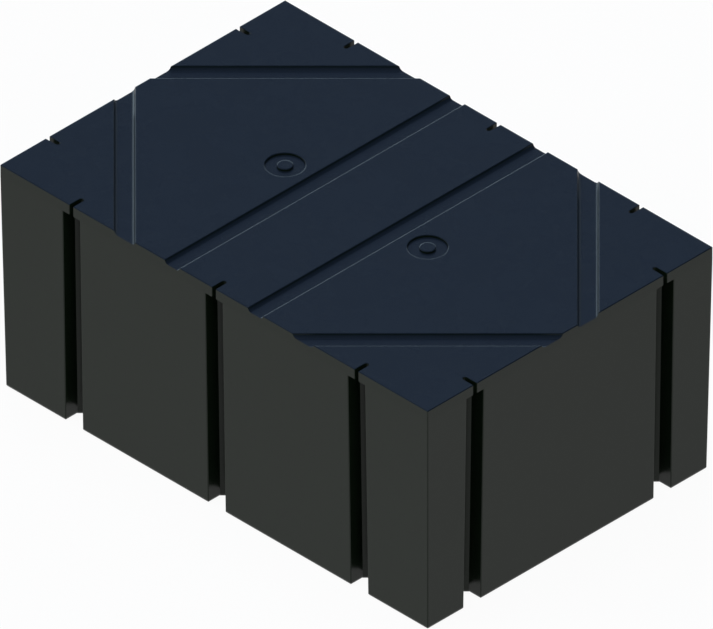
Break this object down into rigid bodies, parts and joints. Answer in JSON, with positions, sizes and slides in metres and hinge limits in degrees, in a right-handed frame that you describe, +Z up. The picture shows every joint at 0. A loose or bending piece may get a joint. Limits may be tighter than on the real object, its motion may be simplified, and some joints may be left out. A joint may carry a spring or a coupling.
{
  "type": "dock float drum",
  "caption": "Sealed rectangular plastic float with upright bolt grooves, a slotted flange, drain channels and vent plugs on its deck, for carrying a floating dock.",
  "frame": {"origin": "centre of the flat bottom", "axes": "+X along the long side, +Y along the short side, +Z up to the deck"},
  "size_m": [0.9144, 0.6096, 0.4128],
  "materials": {
    "float_plastic": "moulded, fine grain",
    "plug_plastic": "moulded, smooth"
  },
  "bodies": {
    "root": {"float_shell": "float_plastic", "vent_plug_left": "plug_plastic", "vent_plug_right": "plug_plastic"}
  },
  "joints": []
}
